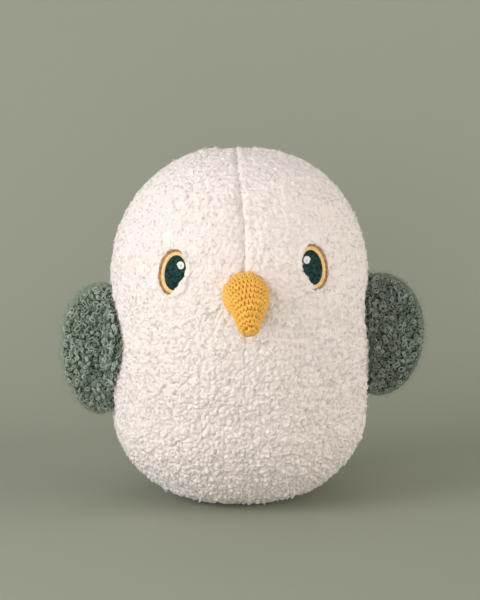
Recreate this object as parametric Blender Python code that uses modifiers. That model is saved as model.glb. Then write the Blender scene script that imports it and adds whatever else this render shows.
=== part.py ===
"""Plush owl: a stuffed, egg-shaped bird with sewn gores, two stuffed wings, a crocheted beak and stitched eyes.

Lengths are in metres and +Z is up. The owl faces -Y, and its own left side is +X.
The origin is the centre of the flat place that it stands on.
"""

from math import atan2, cos, exp, hypot, pi, radians, sin

import bmesh
import bpy
from mathutils import Matrix, Vector

# Body, outside of the pile; the depth share holds at every level
BODY_HEIGHT = 0.280
HEAD_WIDTH = 0.2058
HEAD_LEVEL = 0.168
MIDDLE_WIDTH = 0.2086
MIDDLE_LEVEL = 0.105
BELLY_WIDTH = 0.2030
BELLY_LEVEL = 0.070
SOLE_WIDTH = 0.042
BODY_DEPTH_SHARE = 0.8795
CROWN_FULLNESS = 2.28
SOLE_FULLNESS = 1.9
REST_CUT = 0.0005

# Body cover: four gores and a base, of curly pile on a knitted backing
COVER_THICKNESS = 0.0072
SEAM_GAP = 0.0003
SEAM_DRAW = 0.0030
SEAM_HALF_WIDTH = 0.0085
BASE_SEAM_WIDTH = 0.122

# Mesh density of the body
BODY_COLUMNS = 48
CROWN_RINGS = 9
CHEST_RINGS = 5
BELLY_RINGS = 4
SOLE_RINGS = 7
LINING_COLUMNS = 24
SIDE_SEAM_COLUMNS_FORWARD = 1

# Beak: a crocheted cone, stuffed and sewn to the face
BEAK_LEVEL = 0.1745
BEAK_WIDTH = 0.0332
BEAK_TIP_WIDTH = 0.0104
BEAK_LENGTH = 0.0460
BEAK_FULLNESS = 1.6
BEAK_ROOT_DEPTH = 0.0120
BEAK_DROOP = radians(72)
BEAK_ROUNDS = 11
BEAK_ROUND_RELIEF = 0.0005
BEAK_WALL = 0.0028
BEAK_SIDES = 24
BEAK_LINING_SIDES = 16

# Eyes: stitched pupils, each in two bands of satin stitch and with a white glint
LEFT_EYE_LEVEL = 0.1938
RIGHT_EYE_LEVEL = 0.1902
EYE_TURN = radians(30.5)
EYE_LEAN = radians(6)
EYE_THICKNESS = 0.0026
EYE_SINK = 0.0034
PUPIL_WIDTH = 0.0178
PUPIL_HEIGHT = 0.0264
PUPIL_CROWN = 0.0007
IRIS_OUTER_BAND = 0.0021
IRIS_INNER_BAND = 0.0007
IRIS_TOP_BAND = 0.0018
RIM_OUTER_BAND = 0.0023
RIM_INNER_BAND = 0.0007
RIM_TOP_BAND = 0.0019
GLINT_WIDTH = 0.0060
GLINT_INWARD = 0.0040
GLINT_UP = 0.0061
EYE_SIDES = 28
GLINT_SIDES = 14

# Wings: flat stuffed pads, sewn into the side seams, each by hand at a level of its own
LEFT_WING_LEVEL = 0.1335
LEFT_WING_HEIGHT = 0.0980
LEFT_WING_SPAN = 0.0416
RIGHT_WING_LEVEL = 0.1235
RIGHT_WING_HEIGHT = 0.1045
RIGHT_WING_SPAN = 0.0374
WING_CENTRE_OUT = 0.0060
WING_THICKNESS = 0.0260
WING_COVER = 0.0032
WING_TAPER_SHARE = 0.05
WING_ROOT_NOSE = 0.0042
WING_ROOT_GAP = 0.0004
WING_SWING = radians(30)
WING_COLUMNS = 28
WING_RINGS = 18
WING_LINING_COLUMNS = 16
WING_LINING_RINGS = 10

# One overrun serves every cut, and one weld distance every mesh
OVERRUN = 0.020
WELD = 0.00001

SIDES = ("left", "right")
EYE_LEVELS = {"left": LEFT_EYE_LEVEL, "right": RIGHT_EYE_LEVEL}
WINGS = {
    "left": (LEFT_WING_LEVEL, LEFT_WING_HEIGHT, LEFT_WING_SPAN),
    "right": (RIGHT_WING_LEVEL, RIGHT_WING_HEIGHT, RIGHT_WING_SPAN),
}
SIDE_SEAM_TURN = 2 * pi * SIDE_SEAM_COLUMNS_FORWARD / BODY_COLUMNS
SIDE_SEAM_ANGLE = atan2(BODY_DEPTH_SHARE * sin(SIDE_SEAM_TURN), cos(SIDE_SEAM_TURN))

CREAM = (0.83, 0.75, 0.66)
CREAM_SHADE = (0.76, 0.68, 0.59)
WADDING = (0.90, 0.89, 0.86)
SAGE = (0.145, 0.180, 0.120)
SAGE_SHADE = (0.105, 0.135, 0.090)
HONEY = (0.83, 0.46, 0.095)
NIGHT_GREEN = (0.004, 0.022, 0.024)
GOLD = (0.50, 0.25, 0.035)
BRONZE = (0.17, 0.075, 0.018)
WHITE = (0.86, 0.86, 0.84)


def clear_scene():
    for obj in list(bpy.data.objects):
        bpy.data.objects.remove(obj, do_unlink=True)
    for collection in list(bpy.data.collections):
        bpy.data.collections.remove(collection)


def new_collection(name):
    collection = bpy.data.collections.new(name)
    bpy.context.scene.collection.children.link(collection)
    return collection


def new_object(name, mesh):
    """Every mesh starts among the cutters; a finished piece moves to the parts."""
    obj = bpy.data.objects.new(name, mesh)
    cutters.objects.link(obj)
    obj.hide_render = True
    obj.display_type = "WIRE"
    return obj


def finish(obj, colour, roughness):
    """Make an object one of the owl's pieces, with a material of its own."""
    material = bpy.data.materials.new(obj.name)
    material.use_nodes = True
    shader = material.node_tree.nodes["Principled BSDF"]
    shader.inputs["Base Color"].default_value = (*colour, 1)
    shader.inputs["Roughness"].default_value = roughness
    shader.inputs["Metallic"].default_value = 0
    material.diffuse_color = (*colour, 1)
    obj.data.materials.clear()
    obj.data.materials.append(material)
    obj.data.shade_smooth()
    obj.data.set_sharp_from_angle(angle=radians(38))
    cutters.objects.unlink(obj)
    parts.objects.link(obj)
    obj.hide_render = False
    obj.display_type = "TEXTURED"
    return obj


def bake(obj):
    """Replace the mesh by the shape that its modifiers give it."""
    graph = bpy.context.evaluated_depsgraph_get()
    mesh = bpy.data.meshes.new_from_object(obj.evaluated_get(graph))
    mesh.name = obj.name
    obj.modifiers.clear()
    obj.data = mesh
    return obj


def weld(obj):
    work = bmesh.new()
    work.from_mesh(obj.data)
    bmesh.ops.remove_doubles(work, verts=work.verts, dist=WELD)
    bmesh.ops.dissolve_degenerate(work, dist=WELD, edges=work.edges)
    work.to_mesh(obj.data)
    work.free()
    return obj


def copy(obj, name):
    twin = new_object(name, obj.data.copy())
    twin.matrix_world = obj.matrix_world
    return twin


def combine(obj, cutter, operation="DIFFERENCE"):
    boolean = obj.modifiers.new(cutter.name, "BOOLEAN")
    boolean.operation = operation
    boolean.object = cutter
    boolean.solver = "EXACT"
    return obj


def mirrored(obj, name):
    """The same piece for the owl's right side, with its origin mirrored too."""
    mesh = obj.data.copy()
    flip = Matrix.Diagonal((-1, 1, 1, 1))
    place = flip @ obj.matrix_world @ flip
    mesh.transform(flip)
    mesh.flip_normals()
    twin = new_object(name, mesh)
    twin.matrix_world = place
    return twin


def finish_on(side, obj, name, colour, roughness):
    """Pieces are modelled on the owl's left; one for its right side is a mirror image."""
    piece = mirrored(obj, name) if side == "right" else copy(obj, name)
    return finish(piece, colour, roughness)


def turned(name, outline, steps):
    """Turned form: the outline of radii and heights runs down its outer side."""
    mesh = bpy.data.meshes.new(name)
    points = [(radius, 0, height) for radius, height in outline]
    mesh.from_pydata(points, [(i, i + 1) for i in range(len(points) - 1)], [])
    obj = new_object(name, mesh)
    screw = obj.modifiers.new("turn", "SCREW")
    screw.steps = steps
    screw.render_steps = steps
    screw.use_merge_vertices = True
    screw.merge_threshold = WELD
    return weld(bake(obj))


def box(name, size, place):
    bpy.ops.mesh.primitive_cube_add(size=1)
    obj = bpy.context.object
    mesh = obj.data
    bpy.data.objects.remove(obj)
    mesh.transform(Matrix.Diagonal((*size, 1)))
    obj = new_object(name, mesh)
    obj.matrix_world = place
    return obj


def oval(name, width, height, bottom, top, sides, place, aside=0.0):
    """Upright oval disc in its own frame, moved aside along the frame's X."""
    bpy.ops.mesh.primitive_cylinder_add(vertices=sides, radius=1, depth=1)
    obj = bpy.context.object
    mesh = obj.data
    bpy.data.objects.remove(obj)
    mesh.transform(Matrix.Rotation(pi / sides, 4, "Z"))
    mesh.transform(Matrix.Diagonal((width / 2, height / 2, top - bottom, 1)))
    mesh.transform(Matrix.Translation((aside, 0, (top + bottom) / 2)))
    obj = new_object(name, mesh)
    obj.matrix_world = place
    return obj


def superellipse(share, fullness):
    """Radius and height shares of a rounded corner, from the level (0) to the pole (1)."""
    angle = share * pi / 2
    if share == 1:
        return 0.0, 1.0
    return cos(angle) ** (2 / fullness), sin(angle) ** (2 / fullness)


def eased(start, end, share):
    return start + (end - start) * (0.5 - 0.5 * cos(pi * share))


def body_outline(crown, chest, belly, sole):
    """Half widths and heights of the body, from the crown down to the sole."""
    points = []
    for i in range(crown):
        out, up = superellipse(1 - i / crown, CROWN_FULLNESS)
        points.append((out * HEAD_WIDTH / 2, HEAD_LEVEL + up * (BODY_HEIGHT - HEAD_LEVEL)))
    for i in range(chest):
        level = HEAD_LEVEL + (MIDDLE_LEVEL - HEAD_LEVEL) * i / chest
        points.append((eased(HEAD_WIDTH / 2, MIDDLE_WIDTH / 2, i / chest), level))
    for i in range(belly):
        level = MIDDLE_LEVEL + (BELLY_LEVEL - MIDDLE_LEVEL) * i / belly
        points.append((eased(MIDDLE_WIDTH / 2, BELLY_WIDTH / 2, i / belly), level))
    for i in range(sole + 1):
        out, down = superellipse(i / sole, SOLE_FULLNESS)
        radius = SOLE_WIDTH / 2 + (BELLY_WIDTH - SOLE_WIDTH) / 2 * out
        points.append((radius, BELLY_LEVEL - down * (BELLY_LEVEL + REST_CUT)))
    points.append((0, -REST_CUT))
    return points


def half_width(level):
    """Half width of the body at a level, read from its outline."""
    outline = body_outline(4 * CROWN_RINGS, CHEST_RINGS * 4, BELLY_RINGS * 4, SOLE_RINGS * 4)
    for (outer, above), (inner, below) in zip(outline, outline[1:]):
        if below <= level <= above and above > below:
            return inner + (outer - inner) * (level - below) / (above - below)
    return 0.0


def drawn_in(turn, radius, level):
    """How far the four upright seams draw the cover in at one place."""
    total = 0.0
    for seam in (-pi / 2, pi / 2, -SIDE_SEAM_TURN, pi + SIDE_SEAM_TURN):
        if cos(turn - seam) > 0:
            away = radius * sin(turn - seam)
            total += SEAM_DRAW * exp(-((away / SEAM_HALF_WIDTH) ** 2))
    near_pole = radius**2 / (radius**2 + SEAM_HALF_WIDTH**2)
    rise = min(1, max(0, level / (BELLY_LEVEL / 2)))
    return total * near_pole * rise


def body_form(name, columns, rings, offset=0.0, seams=True):
    """The whole body as one closed form, grown by the offset along its own normals."""
    obj = turned(name, body_outline(*rings), columns)
    for vertex in obj.data.vertices:
        radius = hypot(vertex.co.x, vertex.co.y)
        turn = atan2(vertex.co.y, vertex.co.x)
        pull = drawn_in(turn, radius, vertex.co.z) if seams and radius > 0 else 0
        share = (radius - pull) / radius if radius > 0 else 1
        vertex.co.x *= share
        vertex.co.y *= share * BODY_DEPTH_SHARE
    obj.data.update()
    return grown(obj, offset)


def grown(obj, offset):
    """Move every point along its normal."""
    moves = [vertex.normal * offset for vertex in obj.data.vertices]
    for vertex, move in zip(obj.data.vertices, moves):
        vertex.co += move
    obj.data.update()
    return obj


def seam_cutter(name, start, end):
    """Upright prism between two seams, held back from each by half the seam gap."""
    middle = (start + end) / 2
    tip = Vector((cos(middle), sin(middle), 0)) * (SEAM_GAP / 2 / sin((end - start) / 2))
    reach = HEAD_WIDTH + OVERRUN
    first = Vector((cos(start), sin(start), 0)) * reach
    last = Vector((cos(end), sin(end), 0)) * reach
    work = bmesh.new()
    corners = [work.verts.new(tip + step) for step in (Vector(), first, first + last, last)]
    face = work.faces.new(corners)
    wall = bmesh.ops.extrude_face_region(work, geom=[face])
    raised = [item for item in wall["geom"] if isinstance(item, bmesh.types.BMVert)]
    bmesh.ops.translate(work, verts=raised, vec=(0, 0, BODY_HEIGHT + 2 * OVERRUN))
    bmesh.ops.translate(work, verts=work.verts, vec=(0, 0, -OVERRUN))
    bmesh.ops.recalc_face_normals(work, faces=work.faces)
    mesh = bpy.data.meshes.new(name)
    work.to_mesh(mesh)
    work.free()
    return new_object(name, mesh)


def base_cutter(name, growth):
    """Oval plug inside the base's seam, up into the hollow of the cover."""
    width = BASE_SEAM_WIDTH + 2 * growth
    depth = BASE_SEAM_WIDTH * BODY_DEPTH_SHARE + 2 * growth
    return oval(name, width, depth, -OVERRUN, BELLY_LEVEL, BODY_COLUMNS, Matrix())


def surface_frame(turn, level, lean=0.0):
    """Frame on the body's skin: Z out of the body, Y up along it, X towards the owl's left."""
    step = SEAM_HALF_WIDTH / 10

    def point(angle, height):
        radius = half_width(height)
        return Vector((radius * sin(angle), -radius * cos(angle) * BODY_DEPTH_SHARE, height))

    across = point(turn + step / HEAD_WIDTH, level) - point(turn - step / HEAD_WIDTH, level)
    upward = point(turn, level + step) - point(turn, level - step)
    out = across.cross(upward).normalized()
    across = upward.cross(out).normalized()
    upward = out.cross(across)
    frame = Matrix((across, upward, out)).transposed().to_4x4()
    return Matrix.Translation(point(turn, level)) @ frame @ Matrix.Rotation(lean, 4, "Z")


def make_body():
    rings = (CROWN_RINGS, CHEST_RINGS, BELLY_RINGS, SOLE_RINGS)
    lining_rings = (CROWN_RINGS - 2, CHEST_RINGS - 1, BELLY_RINGS - 1, SOLE_RINGS - 2)
    skin = body_form("body_skin", BODY_COLUMNS, rings)
    lining = body_form("body_lining", LINING_COLUMNS, lining_rings, -COVER_THICKNESS, False)
    floor_size = (2 * HEAD_WIDTH, 2 * HEAD_WIDTH, OVERRUN)
    floor = box("floor", floor_size, Matrix.Translation((0, 0, -OVERRUN / 2)))
    cover = combine(combine(skin, lining), floor)
    bake(cover)

    plug = base_cutter("base_plug", -SEAM_GAP / 2)
    hole = base_cutter("base_hole", SEAM_GAP / 2)
    base = combine(copy(cover, "base_panel"), plug, "INTERSECT")
    finish(weld(bake(base)), CREAM_SHADE, 0.95)

    front = combine(copy(cover, "front_gore"), hole)
    combine(front, seam_cutter("front_wedge", -pi / 2, -SIDE_SEAM_ANGLE), "INTERSECT")
    weld(bake(front))
    back = combine(copy(cover, "back_gore"), hole)
    combine(back, seam_cutter("back_wedge", -SIDE_SEAM_ANGLE, pi / 2), "INTERSECT")
    weld(bake(back))
    for side in SIDES:
        finish_on(side, back, "back_panel_" + side, CREAM_SHADE, 0.95)

    inset = -(COVER_THICKNESS + SEAM_GAP)
    filling = body_form("body_filling", LINING_COLUMNS, lining_rings, inset, False)
    finish(filling, WADDING, 1.0)
    return front


def eye_rings():
    """Outlines of the pupil and the two bands round it: width, height and shift outwards."""
    iris_width = PUPIL_WIDTH + IRIS_OUTER_BAND + IRIS_INNER_BAND + 2 * SEAM_GAP
    iris_height = PUPIL_HEIGHT + 2 * (IRIS_TOP_BAND + SEAM_GAP)
    iris_shift = (IRIS_OUTER_BAND - IRIS_INNER_BAND) / 2
    rim_width = iris_width + RIM_OUTER_BAND + RIM_INNER_BAND + 2 * SEAM_GAP
    rim_height = iris_height + 2 * (RIM_TOP_BAND + SEAM_GAP)
    rim_shift = iris_shift + (RIM_OUTER_BAND - RIM_INNER_BAND) / 2
    return (
        (PUPIL_WIDTH, PUPIL_HEIGHT, 0.0),
        (iris_width, iris_height, iris_shift),
        (rim_width, rim_height, rim_shift),
    )


def eye_disc(name, place, ring, bottom, top, growth=0.0):
    width, height, shift = ring
    grown_width = width + 2 * growth
    grown_height = height + 2 * growth
    return oval(name, grown_width, grown_height, bottom, top, EYE_SIDES, place, shift)


def make_eye(side, front):
    """One eye, let into a pocket in its side's front gore."""
    pupil_ring, iris_ring, rim_ring = eye_rings()
    place = surface_frame(EYE_TURN, EYE_LEVELS[side], EYE_LEAN)
    floor = -EYE_SINK
    low = floor + SEAM_GAP
    high = low + EYE_THICKNESS
    panel = copy(front, "front_blank")
    combine(panel, eye_disc("eye_pocket", place, rim_ring, floor, OVERRUN, SEAM_GAP))
    finish_on(side, weld(bake(panel)), "front_panel_" + side, CREAM, 0.95)

    glint_place = place @ Matrix.Translation((-GLINT_INWARD, GLINT_UP, 0))
    glint_top = high + PUPIL_CROWN
    glint_size = (GLINT_WIDTH, GLINT_WIDTH, low, glint_top, GLINT_SIDES, glint_place)
    hole_width = GLINT_WIDTH + 2 * SEAM_GAP
    hole_size = (hole_width, hole_width, -OVERRUN, OVERRUN, GLINT_SIDES, glint_place)
    glint = oval("glint", *glint_size)
    glint_hole = oval("glint_hole", *hole_size)

    crown_shares = ((0.0, 1.0), (0.45, 0.86), (0.8, 0.46), (1.0, 0.0))
    outline = [(share, EYE_THICKNESS + PUPIL_CROWN * up) for share, up in crown_shares]
    outline += [(1, 0), (0, 0)]
    pupil = turned("pupil", outline, EYE_SIDES)
    pupil.data.transform(Matrix.Diagonal((PUPIL_WIDTH / 2, PUPIL_HEIGHT / 2, 1, 1)))
    pupil.data.transform(Matrix.Translation((0, 0, low)))
    pupil.matrix_world = place
    combine(pupil, glint_hole)
    weld(bake(pupil))

    iris = eye_disc("iris", place, iris_ring, low, high)
    combine(iris, eye_disc("iris_hole", place, pupil_ring, -OVERRUN, OVERRUN, SEAM_GAP))
    rim = eye_disc("rim", place, rim_ring, low, high)
    combine(rim, eye_disc("rim_hole", place, iris_ring, -OVERRUN, OVERRUN, SEAM_GAP))
    looks = (
        ("pupil", pupil, NIGHT_GREEN, 0.45),
        ("iris", iris, GOLD, 0.5),
        ("rim", rim, BRONZE, 0.5),
        ("glint", glint, WHITE, 0.5),
    )
    for name, piece, colour, roughness in looks:
        finish_on(side, weld(bake(piece)), side + "_eye_" + name, colour, roughness)


def beak_spine(share):
    """Place along the beak's middle line, from inside the face (0) to the tip (1)."""
    length = BEAK_ROOT_DEPTH + BEAK_LENGTH
    start = Vector((0, -half_width(BEAK_LEVEL) * BODY_DEPTH_SHARE, BEAK_LEVEL))
    start += Vector((0, BEAK_ROOT_DEPTH, 0))
    steps = 24
    place = start
    for i in range(steps):
        travelled = share * (i + 0.5) / steps
        bend = max(0, travelled * length - BEAK_ROOT_DEPTH) / BEAK_LENGTH
        pitch = BEAK_DROOP * bend
        place = place + Vector((0, -cos(pitch), -sin(pitch))) * (share * length / steps)
    return place


def beak_radius(share, inset=0.0):
    """Radius of the cone, full at the face and closing to a round tip."""
    length = BEAK_ROOT_DEPTH + BEAK_LENGTH
    out = max(0, share * length - BEAK_ROOT_DEPTH) / BEAK_LENGTH
    wide = BEAK_WIDTH / 2
    narrow = BEAK_TIP_WIDTH / 2
    cone = wide + (narrow - wide) * out**BEAK_FULLNESS
    left = BEAK_LENGTH * (1 - out) - inset
    if left < narrow:
        cone *= max(0.12, 1 - (1 - left / narrow) ** 2) ** 0.5
    return cone - inset


def beak_tube(name, inset, sides, ribbed):
    """Tube along the beak's middle line; every crocheted round has a crest and a valley."""
    length = BEAK_ROOT_DEPTH + BEAK_LENGTH
    start = BEAK_ROOT_DEPTH / length
    end = 1 - inset / length
    count = BEAK_ROUNDS * 2 if ribbed else BEAK_ROUNDS
    shares = [0.0, start / 2]
    shares += [start + (end - start) * (i / count) for i in range(count + 1)]
    curve = bpy.data.curves.new(name, "CURVE")
    curve.dimensions = "3D"
    curve.bevel_depth = BEAK_WIDTH / 2
    curve.bevel_resolution = (sides - 4) // 2
    curve.use_fill_caps = True
    curve.resolution_u = 1
    spline = curve.splines.new("POLY")
    spline.points.add(len(shares) - 1)
    for i, share in enumerate(shares):
        relief = 0.0
        if ribbed and 2 <= i < len(shares) - 1:
            relief = BEAK_ROUND_RELIEF if i % 2 else -BEAK_ROUND_RELIEF
        spline.points[i].co = (*beak_spine(share), 1)
        spline.points[i].radius = (beak_radius(share, inset) + relief) / (BEAK_WIDTH / 2)
    holder = bpy.data.objects.new(name + "_line", curve)
    cutters.objects.link(holder)
    bpy.context.view_layer.update()
    graph = bpy.context.evaluated_depsgraph_get()
    mesh = bpy.data.meshes.new_from_object(holder.evaluated_get(graph))
    bpy.data.objects.remove(holder)
    obj = weld(new_object(name, mesh))
    work = bmesh.new()
    work.from_mesh(obj.data)
    bmesh.ops.recalc_face_normals(work, faces=work.faces)
    work.to_mesh(obj.data)
    work.free()
    return obj


def make_beak(face):
    cover = beak_tube("beak_cover", 0.0, BEAK_SIDES, True)
    lining = beak_tube("beak_lining", BEAK_WALL, BEAK_LINING_SIDES, False)
    filling = beak_tube("beak_filling", BEAK_WALL + SEAM_GAP, BEAK_LINING_SIDES, False)
    combine(combine(cover, lining), face)
    combine(filling, face)
    finish(weld(bake(cover)), HONEY, 0.85)
    finish(weld(bake(filling)), WADDING, 1.0)


def seam_radius(level):
    """Distance of the drawn-in side seam from the body's middle line."""
    radius = half_width(level)
    radius -= drawn_in(-SIDE_SEAM_TURN, radius, level)
    return radius * hypot(cos(SIDE_SEAM_TURN), sin(SIDE_SEAM_TURN) * BODY_DEPTH_SHARE)


def wing_levels(side, count, overrun=0.0):
    level, height, _ = WINGS[side]
    tall = height + 2 * overrun
    return [level - tall / 2 + tall * i / count for i in range(count + 1)]


def hinge_radius(side):
    """The hinge axis stands just outside the side seam's widest place behind the wing."""
    return max(seam_radius(level) for level in wing_levels(side, WING_RINGS)) + WING_ROOT_NOSE


def wing_place(side):
    """Frame on the hinge axis: X runs out along the side seam's plane, Z up the axis."""
    turn = Matrix.Rotation(-SIDE_SEAM_ANGLE, 4, "Z")
    return turn @ Matrix.Translation((hinge_radius(side), 0, WINGS[side][0]))


def root_cutter(name, side):
    """What a wing's root leaves free: behind a round nose along the seam, and the swing."""
    groove = atan2(SEAM_DRAW, 1.5 * SEAM_HALF_WIDTH)
    opening = WING_SWING + groove
    steps = 8
    middle, _, span = WINGS[side]
    axis = hinge_radius(side)
    far = span + OVERRUN
    work = bmesh.new()
    rings = []
    for level in wing_levels(side, WING_RINGS, OVERRUN / 2):
        nose = (axis - seam_radius(level)) * cos(groove) - WING_ROOT_GAP
        arc = []
        for i in range(steps + 1):
            angle = opening * (2 * i / steps - 1)
            arc.append(Vector((-nose * cos(angle), nose * sin(angle), level - middle)))
        reach = Vector((far * sin(opening), far * cos(opening), 0))
        first = arc[0] + Vector((reach.x, -reach.y, 0))
        last = arc[-1] + reach
        behind = Vector((-far - reach.x, 0, 0))
        ring = [first + behind, first, *arc, last, last + behind]
        rings.append([work.verts.new(point) for point in ring])
    for lower, upper in zip(rings, rings[1:]):
        for i in range(len(lower)):
            j = (i + 1) % len(lower)
            work.faces.new((lower[i], lower[j], upper[j], upper[i]))
    work.faces.new(rings[0])
    work.faces.new(rings[-1])
    bmesh.ops.recalc_face_normals(work, faces=work.faces)
    mesh = bpy.data.meshes.new(name)
    work.to_mesh(mesh)
    work.free()
    obj = new_object(name, mesh)
    obj.matrix_world = wing_place(side)
    return obj


def wing_form(name, side, columns, rings, inset=0.0):
    """Pad as an oval ball, a little wider above; X runs out from the hinge axis."""
    bpy.ops.mesh.primitive_uv_sphere_add(segments=columns, ring_count=rings, radius=1)
    obj = bpy.context.object
    mesh = obj.data
    bpy.data.objects.remove(obj)
    _, height, span = WINGS[side]
    reach = span - WING_CENTRE_OUT - inset
    for vertex in mesh.vertices:
        wide = 1 + WING_TAPER_SHARE * vertex.co.z
        vertex.co.x = WING_CENTRE_OUT + reach * wide * vertex.co.x
        vertex.co.y *= WING_THICKNESS / 2 - inset
        vertex.co.z *= height / 2 - inset
    obj = new_object(name, mesh)
    obj.matrix_world = wing_place(side)
    return obj


def make_wing(side):
    """One wing; its root is cut free of the body at every angle of its swing."""
    root = root_cutter("wing_root_clearance", side)
    coarse = (WING_LINING_COLUMNS, WING_LINING_RINGS)
    skin = wing_form("wing_skin", side, WING_COLUMNS, WING_RINGS)
    lining = wing_form("wing_lining", side, *coarse, WING_COVER)
    filling = wing_form("wing_wadding", side, *coarse, WING_COVER + SEAM_GAP)
    weld(bake(combine(filling, root)))
    finish_on(side, filling, side + "_wing_filling", WADDING, 1.0)

    bake(combine(combine(skin, lining), root))
    place = skin.matrix_world
    _, height, span = WINGS[side]
    size = (span + 2 * OVERRUN, WING_THICKNESS, height + OVERRUN)
    back = (WING_THICKNESS + SEAM_GAP) / 2
    for face, shift, colour in (("front", -back, SAGE), ("back", back, SAGE_SHADE)):
        half = box(face + "_half", size, place @ Matrix.Translation((WING_CENTRE_OUT, shift, 0)))
        panel = combine(copy(skin, face + "_cover"), half, "INTERSECT")
        finish_on(side, weld(bake(panel)), side + "_wing_" + face + "_panel", colour, 0.95)


def main():
    front = make_body()
    rings = (CROWN_RINGS, CHEST_RINGS, BELLY_RINGS, SOLE_RINGS)
    face = body_form("face_clearance", BODY_COLUMNS, rings, SEAM_GAP)
    make_beak(face)
    for side in SIDES:
        make_eye(side, front)
        make_wing(side)


clear_scene()
parts = new_collection("plush_owl")
cutters = new_collection("plush_owl_cutters")
main()
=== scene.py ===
"""Looks of the plush owl: curly pile, looped wings, a crocheted beak and stitched eyes.

Lengths are in metres and +Z is up. The owl faces -Y, and its own left side is +X.
"""

from math import atan2, cos, hypot, pi, radians, sin

import bpy
import numpy as np
from mathutils import Matrix, Vector


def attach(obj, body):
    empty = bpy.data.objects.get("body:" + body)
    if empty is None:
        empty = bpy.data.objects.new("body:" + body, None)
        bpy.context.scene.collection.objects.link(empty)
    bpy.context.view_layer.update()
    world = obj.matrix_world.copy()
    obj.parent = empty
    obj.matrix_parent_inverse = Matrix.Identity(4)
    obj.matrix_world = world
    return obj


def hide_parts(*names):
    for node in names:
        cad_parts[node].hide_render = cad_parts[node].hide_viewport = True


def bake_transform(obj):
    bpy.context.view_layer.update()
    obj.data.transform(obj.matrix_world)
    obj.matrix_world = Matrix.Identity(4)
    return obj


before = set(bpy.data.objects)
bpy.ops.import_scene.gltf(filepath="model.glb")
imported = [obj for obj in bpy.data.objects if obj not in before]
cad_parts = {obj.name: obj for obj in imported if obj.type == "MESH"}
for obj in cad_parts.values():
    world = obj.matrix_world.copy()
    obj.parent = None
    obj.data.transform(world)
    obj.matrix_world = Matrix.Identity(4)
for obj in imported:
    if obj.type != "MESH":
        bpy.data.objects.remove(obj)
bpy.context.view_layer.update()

# Body, as in the part's source
BODY_HEIGHT = 0.280
HEAD_WIDTH = 0.2058
HEAD_LEVEL = 0.168
MIDDLE_WIDTH = 0.2086
MIDDLE_LEVEL = 0.105
BELLY_WIDTH = 0.2030
BELLY_LEVEL = 0.070
SOLE_WIDTH = 0.042
BODY_DEPTH_SHARE = 0.8795
CROWN_FULLNESS = 2.28
SOLE_FULLNESS = 1.9
COVER_THICKNESS = 0.0072
SEAM_DRAW = 0.0030
SEAM_HALF_WIDTH = 0.0085
BASE_SEAM_WIDTH = 0.122
SIDE_SEAM_TURN = 2 * pi / 48
SEAM_TURNS = (-pi / 2, pi / 2, -SIDE_SEAM_TURN, pi + SIDE_SEAM_TURN)

# Eyes, as in the part's source; bands are outer, inner and top
EYE_LEVELS = {"left": 0.1938, "right": 0.1902}
EYE_TURN = radians(30.5)
EYE_LEAN = radians(6)
EYE_SINK = 0.0034
EYE_THICKNESS = 0.0026
PUPIL_WIDTH = 0.0178
PUPIL_HEIGHT = 0.0264
PUPIL_CROWN = 0.0007
IRIS_BANDS = (0.0021, 0.0007, 0.0018)
RIM_BANDS = (0.0023, 0.0007, 0.0019)
BAND_GAP = 0.0006
GLINT_WIDTH = 0.0060
GLINT_INWARD = 0.0040
GLINT_UP = 0.0061

# Beak, as in the part's source
BEAK_LEVEL = 0.1745
BEAK_WIDTH = 0.0332
BEAK_TIP_WIDTH = 0.0104
BEAK_LENGTH = 0.0460
BEAK_FULLNESS = 1.6
BEAK_ROOT_DEPTH = 0.0120
BEAK_DROOP = radians(72)
BEAK_WALL = 0.0028

# The beak's last rounds close over a rounded end that looks more ahead than the solid's does
BEAK_END_START = 0.840
BEAK_END_SHARE = 0.21
BEAK_END_HEIGHT = 0.0060
BEAK_END_RISE = 0.45
BEAK_END_YAW = 0.32

# Wings, as in the part's source: level, height and span of each
WINGS = {"left": (0.1335, 0.0980, 0.0416), "right": (0.1235, 0.1045, 0.0374)}
WING_CENTRE_OUT = 0.0060
WING_THICKNESS = 0.0260
WING_COVER = 0.0032
WING_TAPER_SHARE = 0.05
WING_ROOT_NOSE = 0.0042
WING_ROOT_GAP = 0.0004
WING_SWING = radians(30)
WING_RINGS = 18
SIDE_SEAM_ANGLE = atan2(BODY_DEPTH_SHARE * sin(SIDE_SEAM_TURN), cos(SIDE_SEAM_TURN))
SIGNS = {"left": 1, "right": -1}

# Boucle over each wing's root: its middle's turn, its place above the wing's, its half height
ROOTS = {"left": (radians(13), 0.019, 0.030), "right": (radians(17), 0.004, 0.045)}
ROOT_LIFT = 0.0050

# Swelling of the covers, by cloth under pressure, on a grid that stays clear of the poles
BODY_SWELL_CAP = 0.0024
WING_SWELL_CAP = 0.0016
CLOTH_PRESSURE = 4.0
CLOTH_FRAMES = 20
POLE_GAP = 0.004

# Pile of the body
PILE_PITCH = 0.00074
PILE_DEPTH = 0.0032
FLOOR_GAP = 0.0002
TUFT_SIZE = 0.0038
EDGE_ROLL = 0.0015
SOLE_EDGE = 0.003
CLUMP_SIZE = 0.0070
CLUMP_SHARE = 0.80
CURL_SPACING = 0.0029
CURL_RADIUS = 0.00105
CURL_THICKNESS = 0.00040
SEAM_LEAN = 0.0034

# Looped yarn of the wings; the back's plain fabric wraps round to the front by the rim's share
KNOB_SPACING = 0.0034
KNOB_RADIUS = 0.0021
KNOB_THICKNESS = 0.00055
LOOP_SPACING = 0.0023
LOOP_RADIUS = 0.0015
LOOP_THICKNESS = 0.00042
LOOP_TUFT = 0.0066
LOOP_DEPTH = 0.0040
FLEECE_TUFT = 0.0034
FLEECE_DEPTH = 0.0021
RIM_SHARE = 0.38
# Painted shade: each wing's colours are scaled by its share, darker on the left wing, which the
# body shades.
WING_SHADE_SHARE = {"left": 0.74, "right": 1.0}

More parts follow.
